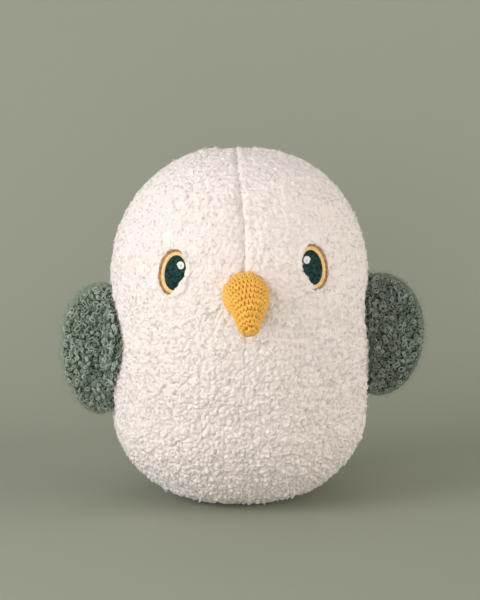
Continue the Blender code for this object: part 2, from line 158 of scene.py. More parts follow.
# Crochet of the beak and stitches of the eyes
ROUNDS = 12
STITCH_WIDTH = 0.0031
YARN_THICKNESS = 0.00084
THREAD_PITCH = 0.00042
THREAD_THICKNESS = 0.00026
PAD_BEVEL = 0.0003

# Fine hairs: length and thickness
PILE_HAIR = (0.0022, 0.00006)
BEAK_HAIR = (0.0013, 0.00005)
LOOP_HAIR = (0.0030, 0.00008)
FLEECE_HAIR = (0.0022, 0.00007)
ROOT_HAIR = (0.0075, 0.00008)

# A distance beyond all those it is compared with
FAR = 9.0

dice = np.random.default_rng(20)


def stacked(*parts):
    """Arrays side by side, on a last axis of their own."""
    return np.stack(parts, axis=-1)


def circle(count):
    """Even angles once round."""
    return 2 * pi * np.arange(count) / count


def unit(vectors):
    return vectors / np.maximum(np.linalg.norm(vectors, axis=-1, keepdims=True), 1e-12)


def smooth_step(value, low, high):
    share = np.clip((value - low) / (high - low), 0, 1)
    return share * share * (3 - 2 * share)


def cell_key(cell):
    """A whole number for each cell of a grid in space."""
    return cell[..., 0] * 73856093 ^ cell[..., 1] * 19349663 ^ cell[..., 2] * 83492791


def hashed(cell, seed):
    """Repeatable random shares for cells."""
    mixed = (cell_key(cell) ^ seed * 2654435761) & 0xFFFFFFFF
    mixed = (mixed ^ mixed >> 15) * 2246822519 & 0xFFFFFFFF
    mixed = (mixed ^ mixed >> 13) * 3266489917 & 0xFFFFFFFF
    return ((mixed ^ mixed >> 16) & 0xFFFF) / 65535


def noise(points, scale, seed):
    """Smooth random field from -1 to 1, with features of that scale."""
    place = points / scale
    cell = np.floor(place).astype(np.int64)
    part = place - cell
    part = part * part * (3 - 2 * part)
    total = np.zeros(len(points))
    for corner in np.ndindex(2, 2, 2):
        step = np.array(corner)
        weight = np.prod(np.where(step, part, 1 - part), axis=1)
        total += weight * hashed(cell + step, seed)
    return 2 * total - 1


def noise_vector(points, scale, seed):
    return stacked(*[noise(points, scale, seed + axis) for axis in range(3)])


def tufts(points, size, seed, reach, width):
    """Domes round scattered points, the creases between them, and the nearest point's place."""
    place = points / size
    cell = np.floor(place).astype(np.int64)
    first = np.full(len(points), FAR)
    second = first.copy()
    centre = np.zeros_like(points)
    for corner in np.ndindex(3, 3, 3):
        there = cell + np.array(corner) - 1
        shift = stacked(*[hashed(there, seed + axis) for axis in range(3)])
        spot = there + 0.5 + 0.8 * (shift - 0.5)
        away = np.linalg.norm(place - spot, axis=1)
        nearer = away < first
        second = np.where(nearer, first, np.minimum(second, away))
        first = np.where(nearer, away, first)
        centre[nearer] = spot[nearer]
    dome = np.sqrt(np.clip(1 - (first / reach) ** 2, 0, 1))
    crease = 1 - np.exp(-np.maximum(second - first, 0) / width)
    return dome, crease, centre * size


def new_piece(name, mesh, look=None, tones=None):
    """Smooth object of points and triangles, with how open each point is to light."""
    points, faces = mesh
    corners = points[faces]
    if np.einsum("ij,ij->", corners[:, 0], np.cross(corners[:, 1], corners[:, 2])) < 0:
        faces = faces[:, ::-1]
    data = bpy.data.meshes.new(name)
    data.vertices.add(len(points))
    data.vertices.foreach_set("co", points.astype(np.float32).ravel())
    data.loops.add(faces.size)
    data.loops.foreach_set("vertex_index", faces.astype(np.int32).ravel())
    data.polygons.add(len(faces))
    data.polygons.foreach_set("loop_start", np.arange(0, faces.size, 3, dtype=np.int32))
    data.update(calc_edges=True)
    data.shade_smooth()
    if look:
        data.materials.append(look)
    if tones is not None:
        layer = data.attributes.new("open", "FLOAT", "POINT")
        layer.data.foreach_set("value", tones.astype(np.float32))
    obj = bpy.data.objects.new(name, data)
    bpy.context.scene.collection.objects.link(obj)
    return obj


def add_piece(name, mesh, look, body="body", node=None, tones=None):
    """A piece with its finish, the body it rides on and the node it stands for."""
    obj = new_piece(name, mesh, look, tones)
    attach(obj, body)
    if node:
        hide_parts(node)
    return obj


def stitched(first, second):
    """Triangles of the strip between two lines of evenly spaced points."""
    many, more = len(first), len(second)
    cuts = np.append(np.linspace(0, 1, many)[1:], np.linspace(0, 1, more)[1:])
    is_first = np.repeat([True, False], [many - 1, more - 1])[np.argsort(cuts, kind="stable")]
    i = np.append(0, np.cumsum(is_first))[:-1]
    j = np.append(0, np.cumsum(~is_first))[:-1]
    after = first[np.minimum(i + 1, many - 1)], second[np.minimum(j + 1, more - 1)]
    return stacked(first[i], second[j], np.where(is_first, *after))


class Sheet:
    """Rows of points with a count that follows each row's length, stitched row to row."""

    def __init__(self, rows):
        starts = np.cumsum([0] + [len(row) for row in rows])
        self.points = np.concatenate(rows)
        self.rows = [np.arange(*ends) for ends in zip(starts[:-1], starts[1:])]
        self.sides = starts[:-1], starts[1:] - 1

    def faces(self):
        return np.concatenate([stitched(*pair) for pair in zip(self.rows, self.rows[1:])])


def wall_faces(rings, around, laps=False):
    """Triangles from ring to ring of points, and from the last one to the first where it laps."""
    i, j = np.meshgrid(np.arange(rings if laps else rings - 1), np.arange(around), indexing="ij")
    here, over = i * around, (i + 1) % rings * around
    k = (j + 1) % around
    walls = stacked(here + j, here + k, over + k, over + j).reshape(-1, 4)
    return np.concatenate([walls[:, [0, 1, 2]], walls[:, [0, 2, 3]]])


def closed_faces(rings, around):
    """Triangles of walls and of both caps, whose middles are the two points after the rings."""
    j = np.arange(around)
    k = (j + 1) % around
    last = (rings - 1) * around
    first_cap = stacked(k, j, np.full(around, rings * around))
    last_cap = stacked(last + j, last + k, np.full(around, rings * around + 1))
    return np.concatenate([wall_faces(rings, around), first_cap, last_cap])


def closed_form(rings):
    """Closed mesh over rings of points, rings by points by 3, each end drawn to its middle."""
    points = np.concatenate([rings.reshape(-1, 3), rings[[0, -1]].mean(axis=1)])
    return points, closed_faces(*rings.shape[:2])


def tubes(lines, radii, sides, across):
    """Closed tubes along many lines at once: lines is curves by points by 3, radii by points."""
    curves, steps = lines.shape[:2]
    ahead = unit(np.gradient(lines, axis=1))
    beside = unit(np.cross(ahead, across[:, None, :]))
    above = np.cross(beside, ahead)
    angles = circle(sides)[:, None]
    ring = np.cos(angles) * beside[:, :, None] + np.sin(angles) * above[:, :, None]
    skin = lines[:, :, None] + ring * radii[:, :, None, None]
    ends = np.stack([-ahead[:, 0], ahead[:, -1]], axis=1) * radii[:, [0, -1], None] * 0.7
    points = np.concatenate([skin.reshape(curves, -1, 3), lines[:, [0, -1]] + ends], axis=1)
    shifts = points.shape[1] * np.arange(curves)
    faces = closed_faces(steps, sides) + shifts[:, None, None]
    return points.reshape(-1, 3), faces.reshape(-1, 3)


def joined(meshes):
    """One mesh from several pairs of points and triangles."""
    shifts = np.cumsum([0] + [len(points) for points, _ in meshes])
    points = np.concatenate([points for points, _ in meshes])
    return points, np.concatenate([faces + shift for (_, faces), shift in zip(meshes, shifts)])


def settled(mesh, held, cap):
    """How far cloth moves under the filling's pressure, held at some points and capped."""
    obj = new_piece("cloth_form", mesh)
    group = obj.vertex_groups.new(name="held")
    group.add([int(index) for index in np.flatnonzero(held)], 1.0, "REPLACE")
    cloth = obj.modifiers.new("cloth", "CLOTH")
    cloth.settings.quality = 5
    cloth.settings.use_pressure = True
    cloth.settings.uniform_pressure_force = CLOTH_PRESSURE
    cloth.settings.effector_weights.gravity = 0
    cloth.settings.vertex_group_mass = "held"
    cloth.point_cache.frame_start = 1
    cloth.point_cache.frame_end = CLOTH_FRAMES
    for step in range(CLOTH_FRAMES):
        bpy.context.scene.frame_set(step + 1)
    moved = np.empty(mesh[0].size, np.float32)
    result = obj.evaluated_get(bpy.context.evaluated_depsgraph_get()).data
    result.vertices.foreach_get("co", moved)
    bpy.data.objects.remove(obj, do_unlink=True)
    bpy.context.scene.frame_set(1)
    moves = moved.reshape(-1, 3).astype(float) - mesh[0]
    length = np.linalg.norm(moves, axis=1, keepdims=True)
    return moves * np.minimum(1, cap / np.maximum(length, 1e-9))


def between(grid, row, column):
    """Values of a grid that closes round, read at places counted in rows and columns."""
    rows, columns = grid.shape[:2]
    low = np.clip(np.floor(row).astype(int), 0, rows - 2)
    left = np.floor(column).astype(int)
    down, right = (row - low)[:, None], (column - left)[:, None]
    first, second = left % columns, (left + 1) % columns
    upper = grid[low, first] * (1 - right) + grid[low, second] * right
    lower = grid[low + 1, first] * (1 - right) + grid[low + 1, second] * right
    return upper * (1 - down) + lower * down


def body_profile():
    """Half widths and heights of the body, crown to sole, at even steps along the outline."""
    angle = np.linspace(1, 0, 400) * pi / 2
    radius = np.cos(angle).clip(0) ** (2 / CROWN_FULLNESS) * HEAD_WIDTH / 2
    level = HEAD_LEVEL + np.sin(angle) ** (2 / CROWN_FULLNESS) * (BODY_HEIGHT - HEAD_LEVEL)
    shares = np.linspace(0, 1, 200)[1:]
    ease = 0.5 - 0.5 * np.cos(pi * shares)
    radius = np.append(radius, HEAD_WIDTH / 2 + (MIDDLE_WIDTH - HEAD_WIDTH) / 2 * ease)
    level = np.append(level, HEAD_LEVEL + (MIDDLE_LEVEL - HEAD_LEVEL) * shares)
    radius = np.append(radius, MIDDLE_WIDTH / 2 + (BELLY_WIDTH - MIDDLE_WIDTH) / 2 * ease)
    level = np.append(level, MIDDLE_LEVEL + (BELLY_LEVEL - MIDDLE_LEVEL) * shares)
    angle = np.linspace(0, 1, 400)[1:] * pi / 2
    out = np.cos(angle).clip(0) ** (2 / SOLE_FULLNESS)
    radius = np.append(radius, SOLE_WIDTH / 2 + (BELLY_WIDTH - SOLE_WIDTH) / 2 * out)
    level = np.append(level, BELLY_LEVEL * (1 - np.sin(angle) ** (2 / SOLE_FULLNESS)))
    radius[0] = 0
    along = np.append(0, np.cumsum(np.hypot(np.diff(radius), np.diff(level))))
    return along, radius, level


ALONG, RADIUS, LEVEL = body_profile()
SLOPE_OUT = np.gradient(RADIUS, ALONG)
SLOPE_UP = np.gradient(LEVEL, ALONG)


def half_width(level):
    return float(np.interp(-level, -LEVEL, RADIUS))


def seam_pull(turn, radius, level):
    """How far the four upright seams draw the cover in."""
    total = np.zeros_like(turn)
    for seam in SEAM_TURNS:
        away = radius * np.sin(turn - seam)
        total += np.where(np.cos(turn - seam) > 0, np.exp(-((away / SEAM_HALF_WIDTH) ** 2)), 0)
    near_pole = radius**2 / (radius**2 + SEAM_HALF_WIDTH**2)
    return SEAM_DRAW * total * near_pole * np.clip(level / (BELLY_LEVEL / 2), 0, 1)


def body_skin(turn, along):
    """Points on the body's skin and the directions out of it."""
    tables = (RADIUS, LEVEL, SLOPE_OUT, SLOPE_UP)
    radius, level, slope_out, slope_up = [np.interp(along, ALONG, table) for table in tables]
    drawn = radius - seam_pull(turn, radius, level)
    x, y = np.cos(turn), np.sin(turn)
    out = -slope_up * x * BODY_DEPTH_SHARE, -slope_up * y, slope_out * BODY_DEPTH_SHARE
    return stacked(drawn * x, drawn * y * BODY_DEPTH_SHARE, level), unit(stacked(*out))


def skin_grid(rows, columns):
    """Turns and places along the outline, all round the body and from pole to pole."""
    along = np.linspace(POLE_GAP, ALONG[-1] - POLE_GAP, rows)
    return np.stack(np.meshgrid(circle(columns), along), axis=-1).reshape(-1, 2).T


def body_swell(rows=60, columns=144):
    """Swelling of the stuffed cover, from cloth held at its seams, its eyes and its beak."""
    turn, along = skin_grid(rows, columns)
    points, out = body_skin(turn, along)
    held = (points[:, 2] < SOLE_EDGE) | (eye_reach(points)[0] < 1.25) | (beak_reach(points) < 1.2)
    for seam in SEAM_TURNS:
        held |= np.cos(turn - seam) > cos(pi / columns)
    cover = closed_form(points.reshape(rows, columns, 3))
    moves = settled(cover, np.append(held, [False, False]), BODY_SWELL_CAP)[: len(points)]
    return np.einsum("ij,ij->i", moves, out).reshape(rows, columns, 1)


def body_surface(turn, along):
    """Points on the swollen cover and the directions out of it."""
    points, out = body_skin(turn, along)
    rows, columns = SWELL.shape[:2]
    row = np.clip((along - POLE_GAP) / (ALONG[-1] - 2 * POLE_GAP), 0, 1) * (rows - 1)
    return points + out * between(SWELL, row, turn / (2 * pi) * columns), out


def eye_place(side):
    """Frame of an eye as it would be on the owl's left: Z out of the body, Y up along it."""
    turn, level = EYE_TURN, EYE_LEVELS[side]
    step = SEAM_HALF_WIDTH / 10

    def point(angle, height):
        radius = half_width(height)
        return Vector((radius * sin(angle), -radius * cos(angle) * BODY_DEPTH_SHARE, height))

    across = point(turn + step / HEAD_WIDTH, level) - point(turn - step / HEAD_WIDTH, level)
    upward = point(turn, level + step) - point(turn, level - step)
    out = across.cross(upward).normalized()
    across = upward.cross(out).normalized()
    axes = Matrix((across, out.cross(across), out)).transposed().to_4x4()
    lean = Matrix.Rotation(EYE_LEAN, 4, "Z")
    return np.array(Matrix.Translation(point(turn, level)) @ axes @ lean)


def placed(mesh, place, side):
    """A mesh in a frame on the owl's left, moved to the owl's own frame and to its side."""
    moved = mesh[0] @ place[:3, :3].T + place[:3, 3]
    return moved * np.array([SIGNS[side], 1, 1]), mesh[1]


def eye_rings():
    """Half widths, half heights and shifts outwards of the pupil, the iris and the rim."""
    width, height, shift = PUPIL_WIDTH, PUPIL_HEIGHT, 0
    rings = [(width / 2, height / 2, shift)]
    for outer, inner, top in (IRIS_BANDS, RIM_BANDS):
        width = width + outer + inner + BAND_GAP
        height = height + 2 * top + BAND_GAP
        shift += (outer - inner) / 2
        rings.append((width / 2, height / 2, shift))
    return rings


def eye_reach(points):
    """Distances from the middle of an eye's visible part and of all its stitches, as shares."""
    width, height, shift = eye_rings()[2]
    outer = shift + width
    inner = PUPIL_WIDTH / 2 - 0.0012
    reach, whole = np.full(len(points), FAR), np.full(len(points), FAR)
    for side, sign in SIGNS.items():
        place = eye_place(side)
        local = (points * np.array([sign, 1, 1]) - place[:3, 3]) @ place[:3, :3]
        across = (local[:, 0] - (outer - inner) / 2) / ((outer + inner) / 2)
        upward = local[:, 1] / (height - 0.0013)
        cut = np.maximum(0, -across - 0.1) * np.maximum(0, -upward - 0.1)
        near = np.abs(local[:, 2]) < width
        reach = np.where(near, np.minimum(reach, np.hypot(across, upward) + 0.9 * cut), reach)
        around = np.hypot((local[:, 0] - shift) / width, local[:, 1] / height)
        whole = np.where(near, np.minimum(whole, around), whole)
    return reach + 0.05 * noise(points, 0.0022, 57), whole


def beak_reach(points):
    """Distance from the middle of the beak's root, as a share of its radius."""
    away = np.hypot(points[:, 0], points[:, 2] - BEAK_LEVEL) / (BEAK_WIDTH / 2)
    return np.where(points[:, 1] < 0, away, FAR)


def pile(points, out, edge):
    """Tufts on the backing: moved points, and how open to light each one is."""
    x, z = points[:, 0], points[:, 2]
    warp = 0.20 * TUFT_SIZE * noise_vector(points, 1.2 * TUFT_SIZE, 3)
    warp += 0.35 * TUFT_SIZE * noise_vector(points, 4 * TUFT_SIZE, 7)
    dome, crease, centre = tufts(points + warp, TUFT_SIZE, 11, 0.95, 0.16)
    _, fine, _ = tufts(points + warp + 0.3 * warp, 0.42 * TUFT_SIZE, 23, 1, 0.3)
    clump, gap, _ = tufts(points + 2.2 * warp, CLUMP_SIZE, 43, 1.05, 0.16)
    clump = clump * (0.45 + 0.55 * gap)
    relief = 0.32 + 0.50 * (1 - smooth_step(z, 0.07, 0.20))
    broad = noise(points, 3.2 * TUFT_SIZE, 31)
    height = 0.12 + dome * (0.35 + 0.53 * crease) + 0.20 * fine * crease + 0.10 * broad
    gathered = CLUMP_SHARE * (0.15 + relief) * (clump - 0.72) * smooth_step(edge, 0, 0.006)
    height = 0.86 + (height - 0.86) * relief + gathered

    # Pockets for the eyes and the beak, with a lip round each eye
    reach, whole = eye_reach(points)
    beak_closed = 1 - smooth_step(beak_reach(points), 0.80, 0.98)
    closed = np.maximum(1 - smooth_step(reach, 0.93, 1.06), beak_closed)
    lip = smooth_step(reach, 1.0, 1.1) * (1 - smooth_step(whole, 1.05, 1.3))
    height = np.maximum(height, 1.18 * lip)

    # How plainly the gores' edges show: most down the forehead, hardly below the beak
    forehead = smooth_step(z, BEAK_LEVEL, BEAK_LEVEL + 0.02)
    middle = 1 - smooth_step(np.abs(x), 0.010, 0.016)
    front = np.where(points[:, 1] < 0.02, 1.0, 0.5)
    showing = 0.10 + 0.90 * forehead * middle * front
    showing = showing * (0.85 + 0.3 * noise(points, 3 * TUFT_SIZE, 67))

    # Edges that roll in at the seams, and the left gore's ridge beside the forehead's seam
    roll = np.where(x > 0, 1.6 * EDGE_ROLL, 3.4 * EDGE_ROLL)
    rolled = showing * (1 - smooth_step(edge, 0, roll))
    height = height * (1 - 0.32 * rolled) * (1 - closed)
    sunk = EYE_SINK - 0.4 * PILE_DEPTH
    base = -0.86 * PILE_DEPTH - 0.25 * EDGE_ROLL * rolled - sunk * closed
    drawn = SEAM_DRAW * np.exp(-((edge / SEAM_HALF_WIDTH) ** 2))
    base = base + 0.85 * drawn * (1 - showing) * np.clip(z / (BELLY_LEVEL / 2), 0, 1)
    ridge = showing * np.exp(-(((edge - 0.0044) / 0.0030) ** 2)) * np.where(x > 0, 0.0011, 0.0)
    lean = noise_vector(centre, 0.5 * TUFT_SIZE, 41) * 0.30 * PILE_DEPTH
    moved = points + out * (base + ridge + PILE_DEPTH * height)[:, None]
    moved = moved + lean * (height**2)[:, None]
    waver = np.exp(-((edge / (2 * EDGE_ROLL)) ** 2)) * np.clip(LEVEL[0] - z, 0, 0.01) / 0.01
    moved = moved + (0.2 * TUFT_SIZE * waver)[:, None] * noise_vector(points, TUFT_SIZE, 61)
    moved[:, 0] -= SEAM_LEAN * smooth_step(z, 0.215, 0.275) * np.exp(-((x / 0.03) ** 2))
    moved[:, 2] = np.maximum(moved[:, 2], FLOOR_GAP)
    # The openness returned sets the painted shade in the pile's hollows, seams and the pockets
    # round the eyes and beak.
    return moved, np.clip(height / 1.05, 0, 1)


def cover_rows(start, end, high, low, pitch):
    """Rows of turns and places along the outline, between two turns and two places."""
    rows = []
    for along in np.linspace(high, low, int((low - high) / pitch)):
        radius = np.interp(along, ALONG, RADIUS)
        columns = int(max(1, radius * (end - start) * 0.94 / pitch)) + 1
        turns = np.linspace(start, end, columns) if radius > 0 else np.array([(start + end) / 2])
        rows.append(stacked(turns, np.full(len(turns), along)))
    return rows


def edge_distance(places, start, end, high, low):
    """Distance along the skin to the nearest seam of a cover piece."""
    turn, along = places.T
    edge = np.full(len(turn), 1.0)
    if end - start < 2 * pi:
        nearer = np.minimum(np.abs(turn - start), np.abs(end - turn))
        edge = np.interp(along, ALONG, RADIUS) * nearer
    if high > 0:
        edge = np.minimum(edge, np.abs(along - high))
    if low < ALONG[-1]:
        edge = np.minimum(edge, np.abs(low - along))
    return edge


def pile_shell(name, slot, look, *span):
    """A cover piece as a closed shell: tufted face, plain back, and edges turned in."""
    face, back = [Sheet(cover_rows(*span, pitch)) for pitch in (PILE_PITCH, 8 * PILE_PITCH)]
    points, out = body_surface(*face.points.T)
    moved, openness = pile(points, out, edge_distance(face.points, *span))
    inner, out = body_surface(*back.points.T)
    inner = inner - out * 0.82 * COVER_THICKNESS
    inner[:, 2] = np.maximum(inner[:, 2], 0.82 * COVER_THICKNESS)
    rims = [(face.sides[0], back.sides[0], 1), (face.sides[1], back.sides[1], -1)]
    high, low = span[2:]
    if high > 0:
        rims.append((face.rows[0], back.rows[0], -1))
    if low < ALONG[-1]:
        rims.append((face.rows[-1], back.rows[-1], 1))
    shift = len(moved)
    strips = [face.faces(), back.faces()[:, ::-1] + shift]
    strips += [stitched(upper, lower + shift)[:, ::way] for upper, lower, way in rims]
    mesh = np.concatenate([moved, inner]), np.concatenate(strips)
    tones = np.append(openness, np.full(len(inner), 0.4))
    return add_piece(name, mesh, look, node=name.replace("pile", "panel"), tones=tones)


def scattered(points, spacing):
    """Indices of points, one drawn from each cube of that size that holds any."""
    order = dice.permutation(len(points))
    cube = np.floor(points[order] / spacing).astype(np.int64)
    return order[np.unique(cell_key(cube), return_index=True)[1]]


def spaced(points, spacing):
    """Indices of points drawn at random, none nearer to another than the spacing."""
    kept = np.empty(len(points), np.int64)
    count = 0
    for index in dice.permutation(len(points)):
        away = points[kept[:count]] - points[index]
        if count == 0 or np.einsum("ij,ij->i", away, away).min() > spacing**2:
            kept[count] = index
            count += 1
    return kept[:count]


def random_axes(out, tilt):
    """A direction near each one given, tilted at random, and a random one square to it."""
    axis = unit(out + tilt * dice.normal(size=out.shape))
    return axis, unit(np.cross(axis, dice.normal(size=out.shape)))


def drawn_lines(points, first, second, x, y):
    """A line from each point, by places along two directions."""
    return points[:, None] + first[:, None] * x[..., None] + second[:, None] * y[..., None]


def curls_on(points, out, size, thickness, steps, sides, tilt, sweeps=(190, 350), wobble=0.0):
    """A short curled strand at each point, lying on the surface and tilted at random."""
    each = (len(points), 1)
    axis, first = random_axes(out, tilt)
    shares = np.linspace(0, 1, steps)
    angle = np.radians(dice.uniform(*sweeps, each)) * shares
    radius = size * dice.uniform(0.7, 1.25, each)
    bends = np.sin(2 * angle + dice.uniform(0, 2 * pi, each))
    spiral = radius * (1 - 0.35 * shares + wobble * bends)
    x, y = np.cos(angle) * spiral, np.sin(angle) * spiral
    arch = thickness * 1.1 * np.sin(pi * shares) - thickness * 0.6
    lines = drawn_lines(points, first, np.cross(axis, first), x, y) + out[:, None] * arch[:, None]
    radii = thickness * dice.uniform(0.75, 1.2, each) * (0.55 + 0.45 * np.sin(pi * shares) ** 0.6)
    return tubes(lines, radii, sides, axis)


def knobs_on(points, out):
    """Yarn wound into a small snail at each point, highest in its middle."""
    each = (len(points), 1)
    axis, first = random_axes(out, 0.5)
    second = np.cross(axis, first) * dice.uniform(0.65, 1.0, each) * dice.choice([-1, 1], each)
    shares = np.linspace(0, 1, 24)
    angle = 2 * pi * dice.uniform(1.0, 1.9, each) * shares
    bends = 1 + 0.22 * np.sin(2 * angle + dice.uniform(0, 2 * pi, each))
    coil = KNOB_RADIUS * dice.uniform(0.65, 1.3, each) * (1 - 0.42 * shares) * bends
    rise = KNOB_THICKNESS * (2.2 * shares - 0.6)
    lines = drawn_lines(points, first, second, np.cos(angle) * coil, np.sin(angle) * coil)
    lines = lines + axis[:, None] * rise[:, None]
    radii = KNOB_THICKNESS * dice.uniform(0.8, 1.15, each)
    return tubes(lines, radii * (0.6 + 0.4 * np.sin(pi * shares) ** 0.4), 6, axis)


def boucle_yarn(points, out, openness, chosen):
    """Knobs over finer loops on the chosen points, and their tones, darker further down: painted
    shade.
    """
    over = chosen[openness[chosen] > 0.35]
    over = over[spaced(points[over], KNOB_SPACING)]
    under = chosen[scattered(points[chosen], LOOP_SPACING)]
    knobs = knobs_on(points[over] + 0.0006 * out[over], out[over])
    low = points[under] - 0.0002 * out[under]
    loops = curls_on(low, out[under], LOOP_RADIUS, LOOP_THICKNESS, 9, 4, 0.7, (200, 430), 0.25)
    # Painted shade: tones set by openness, lighter knobs on the crests and darker loops lower down.
    high = 0.05 + 0.50 * openness[over] + dice.uniform(0, 0.22, len(over))
    deep = 0.02 + 0.40 * openness[under] + dice.uniform(0, 0.10, len(under))
    pairs = ((high, knobs), (deep, loops))
    tones = [np.repeat(tone, len(mesh[0]) // len(tone)) for tone, mesh in pairs]
    return joined([knobs, loops]), np.concatenate(tones)


def fibres(points, out, hair, tilt, steps=5):
    """Fine bent hairs that stand off the surface."""
    length, thickness = hair
    ahead, bend = random_axes(out, tilt)
    shares = np.linspace(0, 1, steps)
    reach = length * dice.uniform(0.5, 1.4, (len(points), 1))
    lines = drawn_lines(points, ahead, bend, reach * shares, reach * 0.45 * shares**2)
    radii = np.repeat(thickness * (1 - 0.6 * shares)[None], len(points), axis=0)
    return tubes(lines, radii, 3, bend)


def pile_curls(name, look, shell):
    """Loose curls and fine hairs that stand out of a cover piece's pile."""
    data = shell.data
    count = len(data.vertices)
    points, out, openness = np.empty(count * 3), np.empty(count * 3), np.empty(count)
    data.vertices.foreach_get("co", points)
    data.vertices.foreach_get("normal", out)
    data.attributes["open"].data.foreach_get("value", openness)
    points, out = points.reshape(-1, 3), out.reshape(-1, 3)
    z = points[:, 2]
    outward = points.copy()
    outward[:, 2] = (z - 0.12) * 0.5
    top = (openness > 0.5) & (eye_reach(points)[0] > 1.05) & (beak_reach(points) > 1.02)
    chosen = np.flatnonzero(top & (z > SOLE_EDGE))
    spots = chosen[scattered(points[chosen], CURL_SPACING)]
    share = 0.60 - 0.25 * smooth_step(z[spots], 0.12, 0.20) - 0.15 * (points[spots, 1] > 0.02)
    spots = spots[dice.random(len(spots)) < share]
    ways = unit(unit(outward) + 0.5 * out)
    curls = curls_on(points[spots], ways[spots], CURL_RADIUS, CURL_THICKNESS, 6, 3, 0.6)
    hairs = chosen[scattered(points[chosen], 2.2 * CURL_SPACING)]
    fine = fibres(points[hairs], ways[hairs], PILE_HAIR, 0.5)
    add_piece(name, joined([curls, fine]), look)


def set_inputs(node, **inputs):
    for name, value in inputs.items():
        node.inputs[name.replace("_", " ")].default_value = value
    return node


def add_node(tree, kind, **inputs):
    return set_inputs(tree.nodes.new(kind), **inputs)


def add_noise(tree, scale, detail, rough):
    """Object-space noise of that many features a metre."""
    place = add_node(tree, "ShaderNodeTexCoord")
    field = add_node(tree, "ShaderNodeTexNoise", Scale=scale, Detail=detail, Roughness=rough)
    tree.links.new(place.outputs["Object"], field.inputs["Vector"])
    return field.outputs["Fac"]


def shader(name, colour, rough, gloss):
    """A new material, its node tree and its Principled shader."""
    material = bpy.data.materials.new(name)
    material.use_nodes = True
    tree = material.node_tree
    principled = set_inputs(tree.nodes["Principled BSDF"], Base_Color=(*colour, 1), Roughness=rough)
    set_inputs(principled, Specular_IOR_Level=gloss)
    return material, tree, principled


def cloth(name, tones, rough, gloss, sheen, patch, bump, detail=3, depth=0.0):
    """Light and dark tones in patches, a painted shade tone in the hollows where a third is given,
    and a bump.
    """
    material, tree, principled = shader(name, tones[0], rough, gloss)
    set_inputs(principled, Sheen_Weight=sheen, Sheen_Roughness=0.5)
    if depth > 0:
        set_inputs(principled, Subsurface_Weight=0.4, Subsurface_Radius=(1.0, 0.85, 0.7))
        set_inputs(principled, Subsurface_Scale=depth)
    ramp = add_node(tree, "ShaderNodeValToRGB")
    for element, place, tone in zip(ramp.color_ramp.elements, (0.35, 0.65), (tones[1], tones[0])):
        element.position = place
        element.color = (*tone, 1)
    tree.links.new(add_noise(tree, patch, detail, 0.6), ramp.inputs["Fac"])
    colour = ramp.outputs["Color"]
    # Painted shade: the third tone darkens the colour where a point is less open to light.
    if len(tones) > 2:
        shade_openness = add_node(tree, "ShaderNodeAttribute")
        shade_openness.attribute_name = "open"
        share = add_node(tree, "ShaderNodeMapRange", From_Max=0.62)
        mix = add_node(tree, "ShaderNodeMix")
        mix.data_type = "RGBA"
        set_inputs(mix, A=(*tones[2], 1))
        tree.links.new(shade_openness.outputs["Fac"], share.inputs["Value"])
        tree.links.new(share.outputs["Result"], mix.inputs["Factor"])
        tree.links.new(colour, mix.inputs["B"])
        colour = mix.outputs["Result"]
    tree.links.new(colour, principled.inputs["Base Color"])
    scale, height, strength = bump
    relief = add_node(tree, "ShaderNodeBump", Distance=height, Strength=strength)
    tree.links.new(add_noise(tree, scale, 4, 0.65), relief.inputs["Height"])
    tree.links.new(relief.outputs["Normal"], principled.inputs["Normal"])
    return material


def wool(name, tones, sheen, patch, depth=0.0):
    """Curly pile or looped yarn."""
    return cloth(name, tones, 0.92, 0.15, sheen, patch, (1400, 0.0004, 0.5), depth=depth)


def yarn(name, tones, sheen):
    """Plied cotton yarn."""
    return cloth(name, tones, 0.8, 0.2, sheen, 260, (2600, 0.0002, 0.6), 5)


def thread(name, light, dark, rough, gloss):
    """Satin-stitch thread with a soft gloss."""
    return cloth(name, (light, dark), rough, gloss, 0, 520, (5200, 0.00008, 0.4))


def wadding(name):
    """Loose polyester stuffing."""
    tones = ((0.92, 0.91, 0.88), (0.84, 0.83, 0.80))
    return cloth(name, tones, 0.95, 0.5, 0.3, 120, (600, 0.001, 0.6))


def make_body():
    # The third cream tone is painted shade, laid where the pile is less open to light.
    cream = ((0.86, 0.772, 0.730), (0.82, 0.726, 0.678), (0.69, 0.590, 0.525))
    pile_look = wool("cream_pile", cream, 0.40, 90, 0.003)
    curl_look = wool("cream_curls", cream[:2], 0.40, 140, 0.002)
    left_side = -SIDE_SEAM_TURN
    right_side = pi + SIDE_SEAM_TURN
    below = ALONG > ALONG[-1] / 2
    base_edge = float(np.interp(-BASE_SEAM_WIDTH / 2, -RADIUS[below], ALONG[below]))
    covers = (
        ("front_pile_left", -pi / 2, left_side, 0.0, base_edge),
        ("front_pile_right", right_side - 2 * pi, -pi / 2, 0.0, base_edge),
        ("back_pile_left", left_side, pi / 2, 0.0, base_edge),
        ("back_pile_right", pi / 2, right_side, 0.0, base_edge),
        ("base_pile", -pi / 2, 1.5 * pi, base_edge, ALONG[-1]),
    )
    for name, *span in covers:
        slot = "body_pile_front" if name.startswith("front") else "body_pile_back"
        shell = pile_shell(name, slot, pile_look, *span)
        pile_curls(name.replace("pile", "curls"), curl_look, shell)

    rows, columns = 40, 64
    points, out = body_skin(*skin_grid(rows, columns))
    inset = COVER_THICKNESS + 0.0009 + 0.0006 * noise(points, 0.012, 71)
    points = points - out * inset[:, None]
    points[:, 2] = np.maximum(points[:, 2], COVER_THICKNESS)
    form = closed_form(points.reshape(rows, columns, 3))
    look = wadding("body_wadding_look")
    add_piece("body_wadding", form, look, "body", "body_filling")


